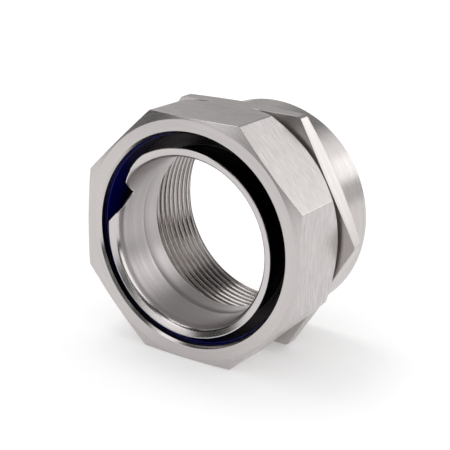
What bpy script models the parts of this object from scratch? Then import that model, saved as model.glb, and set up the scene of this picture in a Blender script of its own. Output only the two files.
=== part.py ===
"""Corrugated pipe coupling in stainless steel.

The body has a threaded pipe socket behind its hexagon and a threaded barrel in front of it.
The octagonal compression nut screws onto the barrel and squeezes a nylon sealing ring round the
hose. The ferrule stands inside with its flange on the barrel's front edge. Its helical lip
screws into the corrugations of the hose.

Lengths are in millimetres and become metres where the meshes are made. The axis runs along Y,
with the hose at -Y and the pipe at +Y. Depths count back from the nut's front face. Angles count
from +X towards +Z, as seen from the hose.
"""
import math

import bmesh
import bpy
from mathutils import Vector

MM = 0.001

# Facets round a full turn
TURN_STEPS = 96

# Gaps between pieces
SEAT_GAP = 0.3
THREAD_GAP = 0.3
RING_SLIP = 0.35
FLANGE_SLACK = 0.7
HOSE_GAP = 2.7

# Pipe thread in the socket
PIPE_THREAD_RADIUS = 28.33
PIPE_THREAD_DEPTH = 1.48
PIPE_RELIEF_CLEARANCE = 0.19
PIPE_RELIEF_WIDTH = 2.5
PIPE_ENTRY_CHAMFER = 1.5

# Body
BARREL_WALL = 2.4
BARREL_ENTRY_CHAMFER = 1.0
BARREL_GROOVE_DEPTH = 1.2
BARREL_GROOVE_WIDTH = 1.7
THROAT_LENGTH = 7.1
THROAT_EDGE_RADIUS = 1.0
THROAT_MOUTH_CHAMFER = 0.2
SOCKET_WALL = 2.69
SOCKET_LENGTH = 14.8
SOCKET_EDGE_CHAMFER = 0.4

# Hexagon
HEX_SIDES = 6
HEX_STEP = 1.7
HEX_THICKNESS = 5.85
HEX_CORNER_TRIM = 0.3
HEX_BACK_MARGIN = 0.1
HEX_BACK_ANGLE = 22.0

# Compression nut
NUT_SIDES = 8
NUT_WALL = 2.3
NUT_LENGTH = 22.75
NUT_TO_HEX = 1.4
NUT_FACE_MARGIN = 0.6
NUT_FACE_ANGLE = 15.0
NUT_BACK_MARGIN = 0.4
NUT_BACK_ANGLE = 58.0
NUT_MOUTH_DEPTH = 2.4
NUT_MOUTH_CHAMFER = 0.7
NUT_ENTRY_CHAMFER = 0.7

# Sealing ring
RING_WALL = 2.35
RING_INSET = 0.45
RING_LENGTH = 8.2
RING_BACK_CHAMFER = 0.5

# Ferrule
FERRULE_WALL = 1.0
FLANGE_THICKNESS = 1.2

# Helical lip of the ferrule: the tube flares gently, then bends sharply into a dished face
LIP_REACH = 2.0
LIP_PROUD = 2.9
LIP_PITCH = 2.75
LIP_FLARE = 3.6
LIP_FLARE_ANGLE = 37.0
LIP_BEND = 0.6
LIP_ANGLE = 68.0
LIP_EDGE = 0.3
LIP_ROW = 0.1
LIP_START_ANGLE = 160.0

# Notch where the lip's two ends meet
NOTCH_DEPTH = 5.4
NOTCH_FLOOR = (157.8, 159.6)
NOTCH_CURVE = 1.3
NOTCH_LOW_CURVE = 1.15
NOTCH_TIP_ANGLE = 145.3
NOTCH_TIP_RISE = 1.8
NOTCH_BEND_ANGLE = 170.6
NOTCH_BEND_RISE = 1.95
LIP_TAPER_ANGLE = 121.0
LIP_TAPER_CURVE = 1.3
LIP_OPENING = 1.3
LIP_OPENING_CURVE = 1.5
LIP_END_ANGLE = 178.0

# Radii, worked outwards and inwards from the pipe thread
pipe_root_radius = PIPE_THREAD_RADIUS + PIPE_THREAD_DEPTH
relief_radius = pipe_root_radius + PIPE_RELIEF_CLEARANCE
socket_radius = pipe_root_radius + SOCKET_WALL
barrel_radius = relief_radius + BARREL_WALL
nut_bore_radius = barrel_radius + THREAD_GAP
ring_radius = nut_bore_radius - RING_SLIP
ring_bore_radius = ring_radius - RING_WALL
mouth_radius = ring_bore_radius + RING_INSET
lip_radius = ring_bore_radius - HOSE_GAP
tube_radius = lip_radius - LIP_REACH
bore_radius = tube_radius - FERRULE_WALL
flange_radius = nut_bore_radius - FLANGE_SLACK
nut_apothem = nut_bore_radius + NUT_WALL
hex_apothem = socket_radius + HEX_STEP

# Depths behind the nut's front face
ring_front = NUT_MOUTH_DEPTH + SEAT_GAP
ring_back = ring_front + RING_LENGTH
flange_front = ring_back + SEAT_GAP
flange_back = flange_front + FLANGE_THICKNESS
barrel_front = flange_back + SEAT_GAP
shoulder = barrel_front + THROAT_LENGTH
hex_front = NUT_LENGTH + NUT_TO_HEX
hex_back = hex_front + HEX_THICKNESS
socket_back = hex_back + SOCKET_LENGTH

# The nut rests on a flat, and the ferrule lies on the inside of the nut
axis_height = nut_apothem
ferrule_drop = FLANGE_SLACK - SEAT_GAP


def clear_scene():
    for old in list(bpy.data.objects):
        bpy.data.objects.remove(old, do_unlink=True)


def material(name, color, roughness, metallic):
    mat = bpy.data.materials.new(name)
    mat.use_nodes = True
    shader = mat.node_tree.nodes["Principled BSDF"]
    shader.inputs["Base Color"].default_value = (*color, 1.0)
    shader.inputs["Roughness"].default_value = roughness
    shader.inputs["Metallic"].default_value = metallic
    return mat


def point(radius, depth, angle):
    """A point at a radius from the axis, a depth behind the nut's face and an angle in degrees."""
    turn = math.radians(angle)
    return Vector((radius * math.cos(turn), depth, radius * math.sin(turn))) * MM


def finish(name, bm, mat=None, drop=0.0):
    """Turns a bmesh into a smooth-shaded object whose origin is on the axis at the nut's face."""
    bmesh.ops.remove_doubles(bm, verts=bm.verts, dist=0.00001)
    bmesh.ops.recalc_face_normals(bm, faces=bm.faces)
    mesh = bpy.data.meshes.new(name)
    bm.to_mesh(mesh)
    bm.free()
    mesh.shade_smooth()
    mesh.set_sharp_from_angle(angle=math.radians(30))
    obj = bpy.data.objects.new(name, mesh)
    obj.location = Vector((0.0, -NUT_LENGTH / 2, axis_height - drop)) * MM
    bpy.context.scene.collection.objects.link(obj)
    if mat:
        mesh.materials.append(mat)
    return obj


def turned(name, profile, mat=None):
    """A solid turned about the axis from a closed profile of (radius, depth) points."""
    bm = bmesh.new()
    verts = [bm.verts.new(point(radius, depth, 0.0)) for radius, depth in profile]
    edges = [bm.edges.new((verts[i - 1], verts[i])) for i in range(len(verts))]
    bmesh.ops.spin(bm, geom=verts + edges, cent=(0, 0, 0), axis=(0, 1, 0), angle=math.tau,
                   steps=TURN_STEPS, use_merge=True)
    bmesh.ops.dissolve_degenerate(bm, dist=0.000001, edges=bm.edges)
    return finish(name, bm, mat)


def prism(name, sides, apothem, first_corner, front, back, mat=None):
    """A regular prism along the axis, with one corner at the given angle."""
    radius = apothem / math.cos(math.pi / sides)
    bm = bmesh.new()
    corners = [bm.verts.new(point(radius, front, first_corner + 360.0 * k / sides)) for k in range(sides)]
    face = bm.faces.new(corners)
    grown = bmesh.ops.extrude_face_region(bm, geom=[face])
    moved = [item for item in grown["geom"] if isinstance(item, bmesh.types.BMVert)]
    bmesh.ops.translate(bm, verts=moved, vec=Vector((0, back - front, 0)) * MM)
    return finish(name, bm, mat)


def combine(target, cutter, operation):
    """Adds a Boolean modifier and hides its second shape."""
    mod = target.modifiers.new(cutter.name, "BOOLEAN")
    mod.operation = operation
    mod.solver = "EXACT"
    mod.object = cutter
    cutter.hide_render = True
    cutter.display_type = "WIRE"


def rounded_corner(radius, depth, size, steps=4):
    """Quarter round from the throat's wall to its back face, as (radius, depth) points."""
    points = []
    for k in range(steps + 1):
        turn = math.radians(90.0 * k / steps)
        points.append((radius + size * (1 - math.cos(turn)), depth - size * (1 - math.sin(turn))))
    return points


def make_nut(steel):
    """Octagon with conical corners, a chamfered mouth, a conical seat and the thread's bore."""
    face_radius = nut_apothem - NUT_FACE_MARGIN
    back_radius = nut_apothem - NUT_BACK_MARGIN
    corner_radius = nut_apothem / math.cos(math.pi / NUT_SIDES)
    beyond = corner_radius + 1.0
    face_fall = (beyond - face_radius) * math.tan(math.radians(NUT_FACE_ANGLE))
    back_fall = (beyond - back_radius) * math.tan(math.radians(NUT_BACK_ANGLE))
    nut = prism("compression_nut", NUT_SIDES, nut_apothem, 180.0 / NUT_SIDES, 0.0, NUT_LENGTH, steel)
    corners = turned("nut_corner_cones", [
        (0.0, -1.0),
        (face_radius, -1.0),
        (face_radius, 0.0),
        (beyond, face_fall),
        (beyond, NUT_LENGTH - back_fall),
        (back_radius, NUT_LENGTH),
        (back_radius, NUT_LENGTH + 1.0),
        (0.0, NUT_LENGTH + 1.0),
    ])
    combine(nut, corners, "INTERSECT")
    seat_depth = NUT_MOUTH_DEPTH + nut_bore_radius - mouth_radius
    bore = turned("nut_bore", [
        (0.0, -1.0),
        (mouth_radius + NUT_MOUTH_CHAMFER + 1.0, -1.0),
        (mouth_radius, NUT_MOUTH_CHAMFER),
        (mouth_radius, NUT_MOUTH_DEPTH),
        (nut_bore_radius, seat_depth),
        (nut_bore_radius, NUT_LENGTH - NUT_ENTRY_CHAMFER),
        (nut_bore_radius + NUT_ENTRY_CHAMFER + 1.0, NUT_LENGTH + 1.0),
        (0.0, NUT_LENGTH + 1.0),
    ])
    combine(nut, bore, "DIFFERENCE")
    return nut


def make_ring(nylon):
    """Sealing ring with a cone in front that bears on the nut's seat."""
    cone_offset = SEAT_GAP * math.sqrt(2)
    cone_start = mouth_radius + (ring_front - NUT_MOUTH_DEPTH) - cone_offset
    return turned("sealing_ring", [
        (ring_bore_radius, ring_front),
        (cone_start, ring_front),
        (ring_radius, ring_front + ring_radius - cone_start),
        (ring_radius, ring_back - RING_BACK_CHAMFER),
        (ring_radius - RING_BACK_CHAMFER, ring_back),
        (ring_bore_radius, ring_back),
    ], nylon)


def make_body(steel):
    """Barrel, hexagon and pipe socket in one piece, with the throat and its shoulder inside."""
    body = turned("body", [
        (0.0, barrel_front),
        (barrel_radius - BARREL_ENTRY_CHAMFER, barrel_front),
        (barrel_radius, barrel_front + BARREL_ENTRY_CHAMFER),
        (barrel_radius, hex_front - BARREL_GROOVE_WIDTH),
        (barrel_radius - BARREL_GROOVE_DEPTH, hex_front - BARREL_GROOVE_WIDTH + BARREL_GROOVE_DEPTH / 2),
        (barrel_radius - BARREL_GROOVE_DEPTH, hex_front + HEX_THICKNESS / 2),
        (socket_radius, hex_front + HEX_THICKNESS / 2),
        (socket_radius, socket_back - SOCKET_EDGE_CHAMFER),
        (socket_radius - SOCKET_EDGE_CHAMFER, socket_back),
        (0.0, socket_back),
    ], steel)
    hexagon = prism("body_hexagon", HEX_SIDES, hex_apothem, 0.0, hex_front, hex_back)
    corner_radius = hex_apothem / math.cos(math.pi / HEX_SIDES) - HEX_CORNER_TRIM
    back_radius = hex_apothem + HEX_BACK_MARGIN
    back_fall = (corner_radius - back_radius) * math.tan(math.radians(HEX_BACK_ANGLE))
    corners = turned("hexagon_corner_cones", [
        (0.0, hex_front - 1.0),
        (corner_radius, hex_front - 1.0),
        (corner_radius, hex_back - back_fall),
        (back_radius, hex_back),
        (back_radius, hex_back + 1.0),
        (0.0, hex_back + 1.0),
    ])
    combine(hexagon, corners, "INTERSECT")
    combine(body, hexagon, "UNION")
    bore = turned("body_bore", [
        (0.0, barrel_front - 1.0),
        (bore_radius + THROAT_MOUTH_CHAMFER + 1.0, barrel_front - 1.0),
        (bore_radius, barrel_front + THROAT_MOUTH_CHAMFER),
        *rounded_corner(bore_radius, shoulder, THROAT_EDGE_RADIUS),
        (relief_radius, shoulder),
        (relief_radius, shoulder + PIPE_RELIEF_WIDTH - PIPE_THREAD_DEPTH / 2),
        (PIPE_THREAD_RADIUS, shoulder + PIPE_RELIEF_WIDTH),
        (PIPE_THREAD_RADIUS, socket_back - PIPE_ENTRY_CHAMFER),
        (PIPE_THREAD_RADIUS + PIPE_ENTRY_CHAMFER + 1.0, socket_back + 1.0),
        (0.0, socket_back + 1.0),
    ])
    combine(body, bore, "DIFFERENCE")
    return body


def flare_length():
    """Length of the sheet's middle in the gentle flare."""
    return LIP_FLARE * math.radians(LIP_FLARE_ANGLE)


def bend_length():
    """Length of the sheet's middle in the sharp bend."""
    return LIP_BEND * math.radians(LIP_ANGLE - LIP_FLARE_ANGLE)


def lip_opening(angle):
    """Straight length between the flare and the bend, which grows towards the tip of the tongue."""
    if LIP_TAPER_ANGLE < angle < NOTCH_FLOOR[0]:
        share = min((angle - LIP_TAPER_ANGLE) / (NOTCH_TIP_ANGLE - LIP_TAPER_ANGLE), 1.0)
        return LIP_OPENING * share ** LIP_OPENING_CURVE
    return 0.0


def sheet_point(height, offset, opening=0.0):
    """Radius of a point on the bent sheet, and how far in front of the flare's start it lies.

    height runs along the sheet's middle from the flare's start, offset counts outwards from it.
    """
    middle = bore_radius + FERRULE_WALL / 2
    if height <= 0:
        return middle + offset, height
    gentle = math.radians(LIP_FLARE_ANGLE)
    if height < flare_length():
        turn = height / LIP_FLARE
        reach = LIP_FLARE - offset
        return middle + LIP_FLARE - reach * math.cos(turn), reach * math.sin(turn)
    before = min(height - flare_length(), opening)
    past = height - flare_length() - before
    turn = min(gentle + past / LIP_BEND, math.radians(LIP_ANGLE))
    straight = max(past - bend_length(), 0.0)
    radius = middle + LIP_FLARE - (LIP_FLARE - LIP_BEND) * math.cos(gentle) + before * math.sin(gentle)
    front = (LIP_FLARE - LIP_BEND) * math.sin(gentle) + before * math.cos(gentle)
    radius += straight * math.sin(turn) - (LIP_BEND - offset) * math.cos(turn)
    front += straight * math.cos(turn) + (LIP_BEND - offset) * math.sin(turn)
    return radius, front


def sheet_length():
    """Length of the sheet's middle from the flare's start to the lip's rim."""
    bent = flare_length() + bend_length()
    return bent + (lip_radius - sheet_point(bent, 0.0)[0]) / math.sin(math.radians(LIP_ANGLE))


def lean(offset):
    """How much lower the sheet ends at an offset, so that the lip's rim is parallel to the axis."""
    return offset / math.tan(math.radians(LIP_ANGLE))


def flare_start(angle):
    """Height in front of the nut's face at which the tube starts to flare."""
    turn = ((LIP_START_ANGLE - angle) % 360.0) / 360.0
    front = -FERRULE_WALL / 2
    return LIP_PROUD - LIP_PITCH * turn - sheet_point(sheet_length() - lean(front), front)[1]


def between(share, first, last, curve=1.0):
    """Height on the way from first to last."""
    return first + (last - first) * share ** curve


def rim_height(angle):
    """Where the sheet ends before the lip is bent out: full height, taper, notch and back."""
    full = flare_start(angle) + sheet_length()
    tip = flare_start(NOTCH_TIP_ANGLE) + NOTCH_TIP_RISE
    bend = flare_start(NOTCH_BEND_ANGLE) + NOTCH_BEND_RISE
    if LIP_TAPER_ANGLE <= angle <= NOTCH_TIP_ANGLE:
        share = (angle - LIP_TAPER_ANGLE) / (NOTCH_TIP_ANGLE - LIP_TAPER_ANGLE)
        return between(share, full, flare_start(angle) + NOTCH_TIP_RISE, LIP_TAPER_CURVE)
    if NOTCH_TIP_ANGLE < angle < NOTCH_FLOOR[0]:
        share = (angle - NOTCH_TIP_ANGLE) / (NOTCH_FLOOR[0] - NOTCH_TIP_ANGLE)
        return between(share, tip, -NOTCH_DEPTH, NOTCH_CURVE)
    if NOTCH_FLOOR[0] <= angle <= NOTCH_FLOOR[1]:
        return -NOTCH_DEPTH
    if NOTCH_FLOOR[1] < angle < NOTCH_BEND_ANGLE:
        share = (angle - NOTCH_FLOOR[1]) / (NOTCH_BEND_ANGLE - NOTCH_FLOOR[1])
        return between(share, -NOTCH_DEPTH, bend, NOTCH_LOW_CURVE)
    if NOTCH_BEND_ANGLE <= angle < LIP_END_ANGLE:
        share = (angle - NOTCH_BEND_ANGLE) / (LIP_END_ANGLE - NOTCH_BEND_ANGLE)
        return between(share, bend, flare_start(LIP_END_ANGLE) + sheet_length())
    return full


def sheet_side(low, rim, offset, opening):
    """Points on one side of the sheet, from the tube's straight part up to the edge at its rim.

    Rows that would lie above the rim close up underneath it.
    """
    flare = flare_length()
    bend = flare + opening + bend_length()
    full = sheet_length() - lean(offset)
    top = rim - lean(offset) - LIP_EDGE
    stops = [low, 0.0, flare / 3, flare * 2 / 3, flare, bend, full - LIP_EDGE]
    rows = [min(stop, top - (len(stops) - 1 - k) * LIP_ROW) for k, stop in enumerate(stops)]
    return [sheet_point(height, offset, opening) for height in rows]


def ferrule_section(angle):
    """Closed outline of the ferrule at one angle, as (radius, depth) points."""
    start = flare_start(angle)
    opening = lip_opening(angle)
    rim = rim_height(angle) - start
    low = -NOTCH_DEPTH - FERRULE_WALL - start
    half = FERRULE_WALL / 2
    edge = half - LIP_EDGE
    sheet = sheet_side(low, rim, -half, opening)
    sheet += [sheet_point(rim - lean(side), side, opening) for side in (-edge, edge)]
    sheet += sheet_side(low, rim, half, opening)[::-1]
    outline = [(radius, -start - front) for radius, front in sheet]
    outline += [(tube_radius, flange_front), (flange_radius, flange_front)]
    outline += [(flange_radius, flange_back), (bore_radius, flange_back)]
    return outline


def ferrule_angles():
    """Angles of the sections: every few degrees, and closer together along the notch."""
    coarse = 360.0 / TURN_STEPS
    fine = coarse / 3
    angles = []
    angle = LIP_END_ANGLE - 360.0
    while angle < LIP_TAPER_ANGLE - coarse / 2:
        angles.append(angle)
        angle += coarse
    angle = LIP_TAPER_ANGLE
    while angle < LIP_END_ANGLE - fine / 2:
        angles.append(angle)
        angle += fine
    return angles


def make_ferrule(steel):
    """Tube and flange with the helical lip, lofted through sections round the axis."""
    bm = bmesh.new()
    rings = []
    for angle in ferrule_angles():
        ring = [bm.verts.new(point(radius, depth, angle)) for radius, depth in ferrule_section(angle)]
        rings.append(ring)
    for k, ring in enumerate(rings):
        before = rings[k - 1]
        for i in range(len(ring)):
            bm.faces.new((before[i - 1], before[i], ring[i], ring[i - 1]))
    return finish("ferrule", bm, steel, ferrule_drop)


def main():
    clear_scene()
    make_body(material("body_steel", (0.60, 0.58, 0.56), 0.32, 1.0))
    make_nut(material("nut_steel", (0.62, 0.60, 0.58), 0.36, 1.0))
    make_ring(material("ring_nylon", (0.004, 0.006, 0.060), 0.22, 0.0))
    make_ferrule(material("ferrule_steel", (0.62, 0.61, 0.59), 0.28, 1.0))


main()
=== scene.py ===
"""Dressed model of a stainless steel coupling for corrugated hose.

The compression nut, the coupling body, the sealing ring and the ferrule are lofted round the
coupling's axis from their turned outlines. The pipe thread and the nut thread are screw surfaces
made with Geometry Nodes. Steel and nylon finishes are procedural. A pale floor and soft lights
make a plain studio.

Depths count back from the nut's front face, and angles count from +X towards +Z, as seen from
the hose.
"""
import math

import bmesh
import bpy
import numpy as np
from mathutils import Euler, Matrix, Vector


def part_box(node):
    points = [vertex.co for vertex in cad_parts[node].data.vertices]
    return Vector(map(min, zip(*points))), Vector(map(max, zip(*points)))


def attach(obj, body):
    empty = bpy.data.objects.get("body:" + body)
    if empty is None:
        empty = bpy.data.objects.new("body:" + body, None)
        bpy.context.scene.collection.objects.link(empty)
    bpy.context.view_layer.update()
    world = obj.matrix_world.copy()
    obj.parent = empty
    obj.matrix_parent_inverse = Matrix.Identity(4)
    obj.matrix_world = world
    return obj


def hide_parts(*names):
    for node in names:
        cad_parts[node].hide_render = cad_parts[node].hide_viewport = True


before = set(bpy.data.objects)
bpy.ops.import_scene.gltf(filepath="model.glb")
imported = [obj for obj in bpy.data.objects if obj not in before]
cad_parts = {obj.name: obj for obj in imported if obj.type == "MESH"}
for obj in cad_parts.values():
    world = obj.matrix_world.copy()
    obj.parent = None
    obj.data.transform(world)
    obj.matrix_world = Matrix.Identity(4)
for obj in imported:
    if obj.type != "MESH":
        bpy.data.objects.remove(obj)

bl_info = {
    "name": "Corrugated Hose Coupling",
    "version": (1, 0, 0),
    "blender": (4, 5, 0),
    "location": "View3D > Sidebar > Coupling",
    "description": "Builds a steel coupling for corrugated hose with its threads, ring and ferrule",
    "category": "Add Mesh",
}

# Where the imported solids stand
nut_low, nut_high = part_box("compression_nut")
body_low, body_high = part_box("body")
ring_low, ring_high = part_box("sealing_ring")
ferrule_low, ferrule_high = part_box("ferrule")
FACE_Y = nut_low.y
AXIS_Z = (nut_low.z + nut_high.z) / 2
FERRULE_AXIS_Z = (ferrule_low.z + ferrule_high.z) / 2

# Columns round a full turn
NUT_COLUMNS = 384
BODY_COLUMNS = 288
RING_COLUMNS = 240

# Points that lie closer than this are made one
WELD = 0.000004

# Gap that stays between the ferrule's back face and the body
SEAT_GAP = 0.00001


def length(name, description, default, lowest=0.0):
    """A property in metres, shown as a distance."""
    return bpy.props.FloatProperty(
        name=name, description=description, default=default, min=lowest, precision=5,
        unit="LENGTH", subtype="DISTANCE")


def angle(name, description, degrees):
    """A property in radians, shown in degrees."""
    return bpy.props.FloatProperty(
        name=name, description=description, default=math.radians(degrees),
        unit="ROTATION", subtype="ANGLE")


def share(name, description, default):
    """A property between 0 and 1."""
    return bpy.props.FloatProperty(
        name=name, description=description, default=default, min=0.0, max=1.0, subtype="FACTOR")


def colour(name, description, default):
    """A linear colour."""
    return bpy.props.FloatVectorProperty(
        name=name, description=description, default=default, min=0.0, max=1.0, subtype="COLOR")


class HoseCouplingNut(bpy.types.PropertyGroup):
    across_flats: length("Across flats", "Distance between two opposite flats", nut_high.z - nut_low.z)
    nut_length: length("Length", "Length along the axis", nut_high.y - nut_low.y)
    bore_radius: length("Thread crest radius", "Radius inside the nut's thread", 0.0327)
    mouth_radius: length("Mouth radius", "Radius of the opening for the hose", 0.03045)
    mouth_depth: length("Mouth depth", "Depth at which the ring's seat starts", 0.0024)
    mouth_chamfer: length("Mouth chamfer", "Size of the chamfer at the mouth", 0.0007)
    face_margin: length("Face margin", "Apothem less the radius of the flat front face", 0.0006)
    face_angle: angle("Front cone", "Slope of the cone that trims the front corners", 15.0)
    back_margin: length("Back margin", "Apothem less the radius of the flat back face", 0.0004)
    back_angle: angle("Back cone", "Slope of the cone that trims the back corners", 58.0)
    corner_round: length("Corner rounding", "Radius along the eight long edges", 0.0007)
    thread_start: length("Thread start", "Depth of the first turn of the thread", 0.0113)
    nicks: bpy.props.IntProperty(
        name="Nicks", description="Number of small nicks on each of the two edges", default=34, min=0)


class HoseCouplingBody(bpy.types.PropertyGroup):
    barrel_radius: length("Barrel radius", "Outside radius of the thread for the nut", 0.0324)
    barrel_front: length("Barrel front", "Depth of the barrel's front edge", body_low.y - FACE_Y)
    groove_radius: length("Groove radius", "Radius of the groove in front of the hexagon", 0.0312)
    groove_length: length("Groove length", "Length of the groove with its slope", 0.0017)
    hex_apothem: length("Hexagon apothem", "Half the distance across the hexagon's flats",
                        (body_high.z - body_low.z) / 2)
    hex_corner: length("Hexagon corner", "Radius of the trimmed corners", (body_high.x - body_low.x) / 2)
    hex_front: length("Hexagon front", "Depth of the hexagon's front face", 0.02415)
    hex_thickness: length("Hexagon thickness", "Thickness along the axis", 0.00585)
    hex_back_angle: angle("Hexagon cone", "Slope of the cone that trims the back corners", 22.0)
    socket_radius: length("Socket radius", "Outside radius of the pipe socket", 0.0325)
    body_length: length("Length", "Length along the axis", body_high.y - body_low.y)
    bore_radius: length("Throat radius", "Radius of the throat", 0.0243)
    throat_length: length("Throat length", "Length of the throat along the axis", 0.0071)
    lead: length("Lead-in", "Radial size of the taper that leads from the ferrule into the throat", 0.0004)
    lead_length: length("Lead-in length", "Length of the throat's lead-in taper along the axis", 0.0016)
    throat_round: length("Throat edge", "Rounding of the throat's inner edge", 0.001)
    relief_radius: length("Relief radius", "Radius of the groove where the thread ends", 0.030)
    relief_length: length("Relief length", "Length of the relief groove with its slope", 0.0025)


class HoseCouplingThreads(bpy.types.PropertyGroup):
    pipe_radius: length("Pipe crest radius", "Radius inside the pipe thread", 0.02833)
    pipe_depth: length("Pipe thread depth", "Height of the pipe thread", 0.00148)
    pipe_pitch: length("Pipe pitch", "Pitch of the pipe thread, eleven turns to the inch", 0.002309)
    nut_depth: length("Nut thread depth", "Height of the thread between nut and barrel", 0.0009)
    nut_pitch: length("Nut pitch", "Pitch of the thread between nut and barrel", 0.002)
    flat_share: share("Crest width", "Share of the pitch that stays at full height", 0.13)


class HoseCouplingRing(bpy.types.PropertyGroup):
    outer_radius: length("Outer radius", "Radius outside", (ring_high.x - ring_low.x) / 2)
    bore_radius: length("Bore radius", "Radius inside", 0.030)
    front: length("Front", "Depth of the front edge", ring_low.y - FACE_Y)
    ring_length: length("Length", "Length along the axis", ring_high.y - ring_low.y)
    rim: length("Rim", "Radius of the moulded rim", 0.0003)
    face_width: length("Front width", "Width of the narrow front face", 0.000326)
    chamfer: length("Chamfer", "Size of the chamfer at the back", 0.0005)


class HoseCouplingFerrule(bpy.types.PropertyGroup):
    bore_radius: length("Bore radius", "Radius inside the tube", 0.0243)
    wall: length("Wall", "Thickness of the sheet", 0.001)
    lip_radius: length("Lip radius", "Outside radius of the rolled lip", 0.0273)
    lip_proud: length("Lip height", "Height of the lip's start in front of the nut", 0.002877)
    lip_pitch: length("Lip pitch", "Fall of the lip in one turn", 0.00275)
    lip_flare: length("Lip flare", "Radius of the gentle flare at the middle of the sheet", 0.0036)
    flare_angle: angle("Flare angle", "Slope at the end of the gentle flare", 37.0)
    lip_bend: length("Lip bend", "Radius of the sharp bend at the middle of the sheet", 0.0006)
    lip_angle: angle("Lip angle", "Slope of the lip's dished face, counted from the axis", 68.0)
    lip_edge: length("Lip edge", "Rounding of the sheet's edge", 0.0003)
    opening: length("Tongue opening", "Straight sheet between flare and bend at the tongue's tip", 0.0013)
    flange_radius: length("Flange radius", "Outside radius of the flange",
                          (ferrule_high.x - ferrule_low.x) / 2)
    flange_front: length("Flange front", "Depth of the flange's front face", 0.0112)
    flange_back: length("Flange back", "Depth of the flange's back face",
                        body_low.y - FACE_Y - SEAT_GAP)
    flange_foot: length("Flange foot", "Rounding between the tube and the flange", 0.0003)
    notch_depth: length("Notch depth", "Depth of the notch's floor", 0.0054)
    tip_rise: length("Tongue height", "Sheet left at the tongue's tip, from the flare's start", 0.0018)
    bend_rise: length("Notch corner height", "Sheet left at the notch's lower corner", 0.00195)
    columns: bpy.props.IntProperty(
        name="Columns", description="Sections round a full turn", default=288, min=24)


class HoseCouplingFinish(bpy.types.PropertyGroup):
    nut_colour: colour("Nut steel", "Colour of the nut's steel", (0.560, 0.527, 0.520))
    body_colour: colour("Body steel", "Colour of the body's steel", (0.555, 0.522, 0.510))
    ferrule_colour: colour("Ferrule steel", "Colour of the ferrule's steel", (0.575, 0.543, 0.538))
    # Painted shade: the steel of the ferrule's outside and flange, deep in the gap, is painted almost black
    # for the shade that falls there
    gap_shade_colour: colour("Gap steel, painted shade", "Colour of the steel inside the gap", (0.030, 0.027, 0.028))
    nylon_colour: colour("Nylon", "Colour of the sealing ring", (0.0002, 0.0006, 0.130))
    roughness: share("Steel roughness", "Roughness of brushed steel", 0.30)


class HoseCouplingStudio(bpy.types.PropertyGroup):
    lens: bpy.props.FloatProperty(
        name="Lens", description="Focal length on a 36 mm sensor, in millimetres", default=101.58, min=10.0)
    place: bpy.props.FloatVectorProperty(
        name="Camera place", description="Where the camera stands",
        default=(0.184134, -0.286548, 0.150491), subtype="TRANSLATION", unit="LENGTH", precision=5)
    turn: bpy.props.FloatVectorProperty(
        name="Camera turn", description="How the camera is turned",
        default=(math.radians(71.5854), math.radians(-2.0825), math.radians(32.7330)),
        subtype="EULER", unit="ROTATION")
    floor_colour: colour("Floor", "Colour of the floor", (0.80, 0.80, 0.80))
    floor_glow: share("Floor glow", "Light that the floor shows to the camera and in reflections", 0.30)
    floor_height: length("Floor height", "Height of the floor, just under the nut", -0.00002, -0.01)


# Lofting

# Columns on a prism's rounded corner and on its trimmed one
ROUNDED_COLUMNS = 8
TRIMMED_COLUMNS = 6

# Distance of a flat's even columns from its corner, and the share of it at which one more lies
BESIDE_CORNER = 0.0012
NEXT_SHARE = 0.08

# Largest shares of a side that a rounding takes, and that it takes with its guard row
ROUNDING_SHARE = 0.42
GUARDED_SHARE = 0.45

# A guard row beside a rounding keeps the flat side's shading flat. These are its least and largest
# distance from the rounding, and the share of the rounding's size that comes on top of the least
GUARD_LEAST = 0.00002
GUARD_MOST = 0.00006
GUARD_GROWTH = 0.2

# The zone of a strip that is left open for a thread
GAP = 9


def round_columns(count, near=0.0):
    """Evenly spaced angles, beginning with the one nearest to the given angle."""
    step = math.tau / count
    return (np.arange(count) + round(near / step)) * step


def cornered_columns(count, sides, first_flat, apothem, corner_round=0.0, trim=None):
    """Angles that crowd towards a prism's corners, and the prism's radius at each of them.

    The count stays the same as in a round row, so that the two kinds of row can be joined.
    """
    half = math.pi / sides
    per_side = count // sides
    if trim:
        reach = math.acos(apothem / trim)
        corner_count = TRIMMED_COLUMNS
    else:
        reach = math.atan((apothem - corner_round) * math.tan(half) / apothem)
        corner_count = ROUNDED_COLUMNS
    wide = per_side - corner_count
    step = BESIDE_CORNER / apothem
    flat = np.concatenate((
        [-reach, -reach + step * NEXT_SHARE], np.linspace(-reach + step, reach - step, wide - 3),
        [reach - step * NEXT_SHARE, reach]))
    round_part = np.linspace(reach, 2 * half - reach, corner_count + 1)[1:-1]
    offsets = np.concatenate((flat, round_part))
    centre = (apothem - corner_round) / math.cos(half)
    angles = []
    radii = []
    for side in range(sides):
        middle = first_flat + side * 2 * half
        for offset in offsets:
            from_middle = offset if offset <= half else offset - 2 * half
            if abs(from_middle) <= reach + 1e-9:
                radius = apothem / math.cos(from_middle)
            elif trim:
                radius = trim
            else:
                gap = half - abs(from_middle)
                radius = centre * math.cos(gap) + math.sqrt(
                    max(corner_round ** 2 - (centre * math.sin(gap)) ** 2, 0.0))
            angles.append(middle + offset)
            radii.append(radius)
    order = np.argsort(np.mod(np.array(angles) - first_flat + half, math.tau), kind="stable")
    angles = np.array(angles)[order]
    radii = np.array(radii)[order]
    angles = np.mod(angles - first_flat + half, math.tau) + first_flat - half
    return angles, radii


def corner(radius, depth, angles, soft=0.0, zone=0, steps=5):
    """One corner of an outline, with the size of its rounding and the zone of what follows.

    Radius, depth and soft are numbers, or one number for each column.
    """
    count = len(angles)
    place = np.stack((np.broadcast_to(radius, count), np.broadcast_to(depth, count)), 1).astype(float)
    soft = np.broadcast_to(soft, count).astype(float)[:, None]
    return {"place": place, "angles": np.array(angles), "soft": soft, "zone": zone, "steps": steps}


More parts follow.
